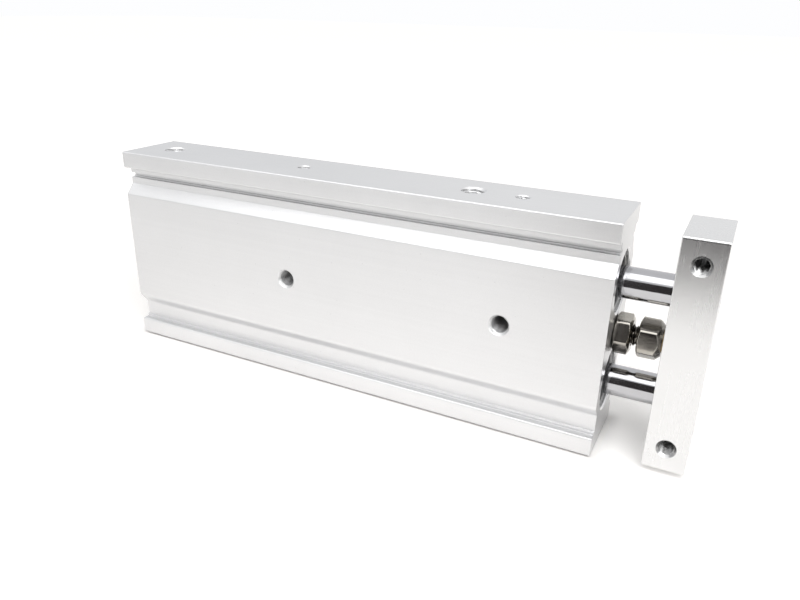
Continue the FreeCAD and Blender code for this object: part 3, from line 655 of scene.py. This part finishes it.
def bore_cutter(z):
    """Bore with its counterbored mouths and ring grooves, as one turned outline."""
    groove_end = RING_INSET + RING_GROOVE_WIDTH
    mouth = [(BEYOND, MOUTH_RADIUS + MOUTH_CHAMFER + BEYOND), (-MOUTH_CHAMFER, MOUTH_RADIUS),
             (-RING_INSET, MOUTH_RADIUS), (-RING_INSET, RING_GROOVE_RADIUS),
             (-groove_end, RING_GROOVE_RADIUS), (-groove_end, MOUTH_RADIUS),
             (-MOUTH_DEPTH, MOUTH_RADIUS), (-MOUTH_DEPTH, BORE_RADIUS)]
    front = [(ROD_END + depth, radius) for depth, radius in mouth]
    rear = [(REAR_END - depth, radius) for depth, radius in reversed(mouth)]
    return lathe(front + rear, (0, 0, z))


def housing():
    """Extruded bar with its bores, fixing holes, small taps, ports and the stop bolt's hole."""
    down, up = (0, 0, -1), (0, 0, 1)
    cutters = [bore_cutter(z) for z in BORES.values()]
    for x in FIXING_X:
        cutters += [
            tapped_hole("four", 2 * HALF_DEPTH, (x, -HALF_DEPTH, MIDDLE_Z), (0, 1, 0),
                        through=True),
            tapped_hole("three", SIDE_TAP_DEPTH, (x, 0, TOP_Z), down),
            tapped_hole("three", SIDE_TAP_DEPTH, (x, 0, BOTTOM_Z), up)]
    for x in PORT_X:
        passage = [(PORT_DEPTH, PASSAGE_RADIUS), (TOP_Z - BORES["lower"], PASSAGE_RADIUS)]
        cutters += [tapped_hole("five", PORT_DEPTH, (x, 0, TOP_Z), down),
                    lathe(passage, (x, 0, TOP_Z), down)]
    stop_hole = four_outer + FIT
    cutters.append(lathe(
        [(-BEYOND, four_mouth + BEYOND), (four_mouth - four_outer, stop_hole),
         (STOP_HOLE_DEPTH, stop_hole)], (ROD_END, 0, MIDDLE_Z), (-1, 0, 0)))
    blank = bar(housing_section(), REAR_END, ROD_END, HOUSING_EDGE)
    fitted("housing", carved("housing", blank, cutters))


# Rods, plate and cap screws.

def piston_rod(node, z):
    """Rod from the thin end that carries its piston to the hole for the plate's screw."""
    low, high = box_of(node)
    start, end, radius = low[0], high[0], high[1]
    shoulder, tap_floor = start + SPIGOT_LENGTH, end - ROD_TAP_DEPTH
    tap = THREADS["three"][1] + FIT
    rows = [(start, POLE, 0), (start, SPIGOT_RADIUS, 0.25), (shoulder, SPIGOT_RADIUS, 0.05),
            (shoulder, radius, 0.25), (end, radius, 0.3), (end, tap, 0.1),
            (tap_floor, tap, 0.1), (tap_floor, POLE, 0)]
    fitted(node, closed_mesh(node, turned_piece(rows, z)))


def end_plate():
    """Plate across both rods: a seat and a counterbored hole at each, four load holes through
    its face and two tapped holes through its sides."""
    half_across, half_up = PLATE_HIGH[1], (PLATE_HIGH[2] - PLATE_LOW[2]) / 2
    corners = [(half_across, -half_up), (half_across, half_up), (-half_across, half_up),
               (-half_across, -half_up)]
    section = softened(corners, PLATE_EDGE) + (0, MIDDLE_Z)
    head_seat = PLATE_THICKNESS - COUNTERBORE_DEPTH
    cutters = []
    for level, z in BORES.items():
        seat = box_of(f"{level}_piston_rod")[1][1] + FIT
        cutters.append(lathe(
            [(-BEYOND, seat + SEAT_CHAMFER + BEYOND), (SEAT_CHAMFER, seat), (SEAT_DEPTH, seat),
             (SEAT_DEPTH, SCREW_HOLE), (head_seat, SCREW_HOLE), (head_seat, COUNTERBORE_RADIUS),
             (PLATE_THICKNESS - COUNTERBORE_CHAMFER, COUNTERBORE_RADIUS),
             (PLATE_THICKNESS + BEYOND, COUNTERBORE_RADIUS + COUNTERBORE_CHAMFER + BEYOND)],
            (PLATE_LOW[0], 0, z)))
    for up in (-LOAD_UP / 2, LOAD_UP / 2):
        for across in (-LOAD_ACROSS / 2, LOAD_ACROSS / 2):
            foot = (PLATE_HIGH[0], across, MIDDLE_Z + up)
            cutters.append(
                tapped_hole("three", PLATE_THICKNESS, foot, (-1, 0, 0), through=True))
    for up in (-SIDE_HOLE_PITCH / 2, SIDE_HOLE_PITCH / 2):
        foot = (PLATE_MIDDLE, -half_across, MIDDLE_Z + up)
        cutters.append(tapped_hole("three", 2 * half_across, foot, (0, 1, 0), through=True,
                                   mouth=SIDE_HOLE_MOUTH))
    blank = bar(section, PLATE_LOW[0], PLATE_HIGH[0], PLATE_RIM)
    fitted("end_plate", carved("end_plate", blank, cutters))


def cap_screw(node, z):
    """Cap screw: threaded shank, head with a knurled wall and a hexagon socket. The wall's radius
    drops by the depth of a groove times the square of the cosine of half the knurl's turn."""
    low, high = box_of(node)
    tip, top, wide = low[0], high[0], high[1]
    head = top - HEAD_LENGTH
    shank_start, socket_floor = head - SHANK_LENGTH, top - SOCKET_DEPTH
    core, _, pitch, _ = THREADS["three"]
    along = np.arange(tip + SCREW_TIP, shank_start, pitch / THREAD_STEPS)
    threaded = outer_thread(along, tip, SCREW_LEAD, "three", root_share=0.95)
    knurled = wide - KNURL_DEPTH * np.cos(TURN * KNURLS / 2) ** 2
    socket = hexagon(SOCKET_FLATS, corner_soft=0.02)
    centre = (0, 0, z)
    rows = [
        lathe([(tip, POLE), (tip, core * TIP_SHARE)], centre),
        stack(along, threaded, centre),
        lathe([(shank_start, SHANK_RADIUS), (head, SHANK_RADIUS), (head, wide - 0.2),
               (head + 0.12, wide)], centre),
        stack([head + KNURL_START, top - KNURL_END], np.array([knurled, knurled]), centre),
        lathe([(top - 0.45, wide), (top - 0.1, wide - HEAD_ROUND), (top, wide - HEAD_RIM),
               (top, SOCKET_FLATS / 2 + 0.3)], centre),
        stack([top - 0.1, socket_floor], np.array([socket, socket]), centre),
        lathe([(socket_floor - SOCKET_POINT, POLE)], centre),
    ]
    fitted(node, closed_mesh(node, np.concatenate(rows)))


# Lock nut, stop bolt and its pad.

def hex_wall(along, low, high, low_cone, high_cone, turn):
    """Radius of a chamfered hexagon: the least of its sides and of a cone at each end, which
    grows from the face's own radius to the corners over the cone's depth."""
    corner = HEX_FLATS / math.sqrt(3)
    (low_face, low_depth), (high_face, high_depth) = low_cone, high_cone
    from_low = low_face + (along - low) * (corner - low_face) / low_depth
    from_high = high_face + (high - along) * (corner - high_face) / high_depth
    return np.minimum(hexagon(HEX_FLATS, turn), np.minimum(from_low, from_high)[:, None])


def lock_nut():
    """Nut as a closed loop of rings: chamfered hexagon outside, countersunk thread inside. The
    thread's crests clear those of the bolt, which slides through at its adjustment's other end."""
    low, high = box_of("lock_nut")
    start, end = low[0], high[0]
    centre = (0, 0, MIDDLE_Z)
    along = np.concatenate([np.linspace(start, start + CONE_SPAN, CONE_RINGS),
                            np.linspace(end - CONE_SPAN, end, CONE_RINGS)])
    wall = hex_wall(along, start, end, NUT_CONE, NUT_CONE, NUT_TURN)
    inner = np.arange(end - NUT_THREAD_INSET, start + NUT_THREAD_INSET,
                      -four_pitch / THREAD_STEPS)
    hole = thread(inner, four_outer + FIT, four_outer + NUT_CREST, four_pitch)
    mouth, throat = four_mouth + NUT_SINK, four_outer + 3 * FIT
    rows = [stack(along, wall, centre),
            lathe([(end, mouth), (end - NUT_SINK_DEPTH, throat)], centre),
            stack(inner, hole, centre),
            lathe([(start + NUT_SINK_DEPTH, throat), (start, mouth)], centre)]
    fitted("lock_nut", closed_mesh("lock_nut", np.concatenate(rows), loop=True))


def stop_bolt():
    """Bolt from its threaded tip to the long chamfered head, which holds the seat of the pad."""
    low, high = box_of("stop_bolt")
    tip, top = low[0], high[0]
    head = top - BOLT_HEAD_LENGTH
    centre = (0, 0, MIDDLE_Z)
    along = np.arange(tip + BOLT_TIP, head - BOLT_NECK, four_pitch / THREAD_STEPS)
    threaded = outer_thread(along, tip, BOLT_LEAD, "four", root_share=0.9, slack=0.03)
    sides = np.concatenate([np.linspace(head, head + CONE_SPAN, CONE_RINGS),
                            np.linspace(top - FRONT_CONE_SPAN, top, FRONT_CONE_RINGS)])
    wall = hex_wall(sides, head, top, BOLT_BACK_CONE, BOLT_FRONT_CONE, BOLT_TURN)
    pad_low, pad_high = box_of("stop_pad")
    seat_radius, seat_floor = pad_high[1] + FIT, pad_low[0]
    rows = [lathe([(tip, POLE), (tip, four_core * TIP_SHARE)], centre),
            stack(along, threaded, centre),
            lathe([(head - 0.25, four_core), (head, four_core + 0.1)], centre),
            stack(sides, wall, centre),
            lathe([(top, seat_radius + 0.12), (top - 0.12, seat_radius),
                   (seat_floor, seat_radius), (seat_floor, POLE)], centre)]
    fitted("stop_bolt", closed_mesh("stop_bolt", np.concatenate(rows)))


def stop_pad():
    """Soft pad with a well rounded rim."""
    low, high = box_of("stop_pad")
    rows = [(low[0], POLE, 0), (low[0], high[1], 0.1), (high[0], high[1], 0.35),
            (high[0], POLE, 0)]
    fitted("stop_pad", closed_mesh("stop_pad", turned_piece(rows, MIDDLE_Z)))


# Retaining rings.

def retaining_ring(node, z):
    """Open ring with two ears. Its section runs from the inner edge to the outer one.

    The inner edge is the smaller of the band's inner radius and of the ear's near side, which lies
    at e * cos(d) - sqrt(a * a - e * e * sin(d) ** 2), with the ear's radius a, the distance e of
    its centre and the turn d from it. The two ends are cut parallel to the middle of the opening.
    """
    low, high = box_of(node)
    thickness = high[0] - low[0]
    back = np.array((low[0], 0, z))
    outer = RING_GROOVE_RADIUS - FIT
    band = outer - RING_BAND
    ear_distance = outer - EAR_RADIUS
    ear_turn = math.asin(EAR_SPREAD / ear_distance)
    end_reach = math.sqrt(ear_distance ** 2 - EAR_SPREAD ** 2) - math.sqrt(
        EAR_RADIUS ** 2 - (EAR_SPREAD - RING_GAP / 2) ** 2)
    end_turn = math.atan2(RING_GAP / 2, end_reach)
    outer_end = math.asin(RING_GAP / 2 / outer)
    share = np.linspace(0, 1, RING_SECTIONS)
    inner_angle = end_turn + share * (2 * math.pi - 2 * end_turn)
    outer_angle = outer_end + share * (2 * math.pi - 2 * outer_end)
    from_ear = np.minimum(np.abs(inner_angle - ear_turn),
                          np.abs(2 * math.pi - inner_angle - ear_turn))
    under_root = EAR_RADIUS ** 2 - (ear_distance * np.sin(from_ear)) ** 2
    ear_edge = ear_distance * np.cos(from_ear) - np.sqrt(np.clip(under_root, 0, None))
    near_ear = (under_root > 0) & (from_ear < math.pi / 2)
    inner_radius = np.where(near_ear, np.minimum(ear_edge, band), band)
    turn = math.radians(RING_TURN)
    upward = np.array((0, -math.sin(turn), math.cos(turn)))
    across = np.array((0, math.cos(turn), math.sin(turn)))

    def edge(radius, angle):
        return ((radius * np.cos(angle))[:, None] * upward
                + (radius * np.sin(angle))[:, None] * across)

    inner_edge = edge(inner_radius, inner_angle)[:, None]
    outer_edge = edge(np.full_like(outer_angle, outer), outer_angle)[:, None]
    section = softened([(0, 0), (1, 0), (1, 1), (0, 1)], RING_EDGE, steps=3)[None]
    outwards, forwards = section[..., 0:1], section[..., 1:2]
    rings = (inner_edge * (1 - outwards) + outer_edge * outwards
             + np.array((1.0, 0, 0)) * (forwards * thickness))
    rings = rings + back
    holes = []
    for side in (-1, 1):
        centre = ear_distance * (math.cos(ear_turn) * upward + side * math.sin(ear_turn) * across)
        hole = [(-EAR_BEYOND, EAR_HOLE), (thickness + EAR_BEYOND, EAR_HOLE)]
        holes.append(lathe(hole, centre + back))
    fitted(node, carved(node, rings, holes), sharp=40.0)


housing()
for level, z in BORES.items():
    piston_rod(f"{level}_piston_rod", z)
end_plate()
for level, z in BORES.items():
    cap_screw(f"{level}_plate_screw", z)
lock_nut()
stop_bolt()
stop_pad()
for level, z in BORES.items():
    retaining_ring(f"{level}_front_retaining_ring", z)
    retaining_ring(f"{level}_rear_retaining_ring", z)


# Stage: pale floor, soft light and the camera at the photograph's viewing angle.

FLOOR_REACH, FLOOR_DROP = 3000.0, 0.3  # half its width, and how far it lies below the part
FRONT_SHADE_FADE = (-190, -75)  # places in front of the part where its sheet, in reflections only, turns from painted grey shade to white
CONTACT_SHADE_FADE, NEAR_GLOW = (0.0, 3.5), 0.32  # distance from the housing's footprint over which the glow comes back: a painted contact shadow
AWAY_FADE, AWAY_GLOW = (90, 320), 0.68  # distance from the part's middle


def camera_ray(recipe):
    return recipe.node("ShaderNodeLightPath", output="Is Camera Ray")


def seen(recipe):
    """1 for rays that show the background: from the camera, in a reflection or through glass."""
    straight, mirrored, through = recipe.outputs(
        camera_ray(recipe), ("Is Camera Ray", "Is Glossy Ray", "Is Transmission Ray"))
    return straight.at_least(mirrored).at_least(through)


def pale_world():
    """White room, which shows a little greyer at its back left in reflections."""
    world = bpy.data.worlds.new("studio")
    bpy.context.scene.world = world
    r = Recipe(world)
    left_right, front_back, _ = r.axes(r.node("ShaderNodeTexCoord", output="Generated"))
    back_left = (left_right * -1).over(0.2, 0.8) * front_back.over(0.0, 0.5)
    white, grey = (0.985, 0.99, 1.0), (0.84, 0.85, 0.87)
    room = r.between(back_left * (1 - camera_ray(r)), white, grey)
    lighting = r.node("ShaderNodeBackground", {}, {"Color": colour(0.96), "Strength": 0.45})
    shown = r.node("ShaderNodeBackground", {}, {"Color": room, "Strength": 1.0})
    r.node("ShaderNodeOutputWorld", {}, {"Surface": r.mixed(seen(r), lighting, shown)})


def sheet_of(name, material_name, corners):
    """One flat face, and the recipe of a material of its own."""
    mesh = bpy.data.meshes.new(name)
    mesh.from_pydata((np.array(corners) * MM).tolist(), [], [(0, 1, 2, 3)])
    sheet = new_object(name, mesh)
    material = bpy.data.materials.new(material_name)
    mesh.materials.append(material)
    return sheet, Recipe(material)


def pale_floor():
    """White floor that keeps the part's shadow and reads white where nothing shades it. Its glow
    fades out at the housing's footprint, painting a contact shadow there, and is weaker near the
    part than far off, which leaves the shade there deeper. Reflections show the sheet greyer
    towards the front, as painted shade."""
    height = BOTTOM_Z - FLOOR_DROP
    corners = [(-FLOOR_REACH, -FLOOR_REACH, height), (FLOOR_REACH, -FLOOR_REACH, height),
               (FLOOR_REACH, FLOOR_REACH, height), (-FLOOR_REACH, FLOOR_REACH, height)]
    _, r = sheet_of("floor", "floor_paper", corners)

    def matt(paint):
        return r.node("ShaderNodeBsdfDiffuse", {}, {"Color": colour(paint)})

    paper = matt((0.93, 0.925, 0.92))
    # The grey front sheet is painted shade.
    near_sheet, front_shade_sheet = matt((0.98, 0.965, 0.95)), matt(0.80)
    lit = r.node("ShaderNodeEmission", {}, {"Color": colour((1.0, 0.99, 0.97)), "Strength": 0.60})
    unlit = r.node("ShaderNodeEmission", {}, {"Strength": 0.0})
    x, y, _ = r.axes()
    # Painted shade, for reflections only: the sheet turns grey towards the front and loses its
    # glow.
    front = (1 - y.over_mm(*FRONT_SHADE_FADE)) * (1 - camera_ray(r))
    beside_x = (abs(x) - ROD_END * MM).at_least(0.0)
    beside_y = (abs(y) - HALF_DEPTH * MM).at_least(0.0)
    # Painted contact shadow: no glow at the housing's footprint, full glow 3.5 mm beyond it.
    past_contact_shade = reach_of(beside_x, beside_y).over_mm(*CONTACT_SHADE_FADE)
    # Weaker glow near the part leaves its shade deeper there, while the far floor reads white.
    away = reach_of(x, y).over_mm(*AWAY_FADE)
    glow = r.mixed((past_contact_shade * NEAR_GLOW + away * AWAY_GLOW) * (1 - front), unlit, lit)
    sheet = r.mixed(front, near_sheet, front_shade_sheet)
    shown = r.node("ShaderNodeAddShader", {}, {0: sheet, 1: glow})
    r.node("ShaderNodeOutputMaterial", {}, {"Surface": r.mixed(seen(r), paper, shown)})


def dark_card():
    """Black card that stands in front of the part and shows only in its reflections."""
    left, right, height, front = 38.0, 135.0, 112.0, -112.0
    corners = [(left, front, BOTTOM_Z), (right, front, BOTTOM_Z), (right, front, height),
               (left, front, height)]
    card, r = sheet_of("dark_card", "card_black", corners)
    for ray in ("camera", "diffuse", "transmission", "volume_scatter", "shadow"):
        setattr(card, f"visible_{ray}", False)
    black = r.node("ShaderNodeEmission", {},
                   {"Color": colour((0.055, 0.05, 0.05)), "Strength": 1.0})
    r.node("ShaderNodeOutputMaterial", {}, {"Surface": black})


def soft_lamp(name, place, aim, width, depth, power):
    """Rectangular lamp, in metres and watts."""
    light = bpy.data.lights.new(name, "AREA")
    light.shape = "RECTANGLE"
    light.size = width
    light.size_y = depth
    light.energy = power
    lamp = new_object(name, light)
    lamp.location = place
    lamp.rotation_euler = (Vector(aim) - Vector(place)).to_track_quat("-Z", "Y").to_euler()


def photograph_camera():
    """Camera from its azimuth, elevation and roll, at its place in the frame."""
    azimuth, elevation, roll = (math.radians(angle) for angle in (26.62, 22.67, 1.25))
    place = np.array((74.66, -125.50, 78.54))
    back = np.array((math.sin(azimuth) * math.cos(elevation),
                     -math.cos(azimuth) * math.cos(elevation), math.sin(elevation)))
    level = np.cross(-back, (0, 0, 1))
    level /= np.linalg.norm(level)
    upright = np.cross(level, -back)
    right = math.cos(roll) * level + math.sin(roll) * upright
    up = -math.sin(roll) * level + math.cos(roll) * upright
    lens = bpy.data.cameras.new("photograph")
    lens.lens = 31.72
    lens.sensor_width = 36.0
    lens.clip_start = 0.005
    camera = new_object("photograph", lens)
    turn = Matrix((right, up, back)).transposed().to_4x4()
    camera.matrix_world = Matrix.Translation(Vector(place * MM)) @ turn
    bpy.context.scene.camera = camera


pale_world()
pale_floor()
dark_card()
soft_lamp("overhead", place=(-0.05, -0.22, 0.50), aim=(-0.05, -0.22, 0.0), width=0.70,
          depth=0.42, power=1.45)
soft_lamp("right", place=(0.27, -0.26, 0.30), aim=(0.07, -0.08, 0.0), width=0.36, depth=0.36,
          power=1.25)
photograph_camera()
bpy.context.scene.view_settings.view_transform = "Standard"
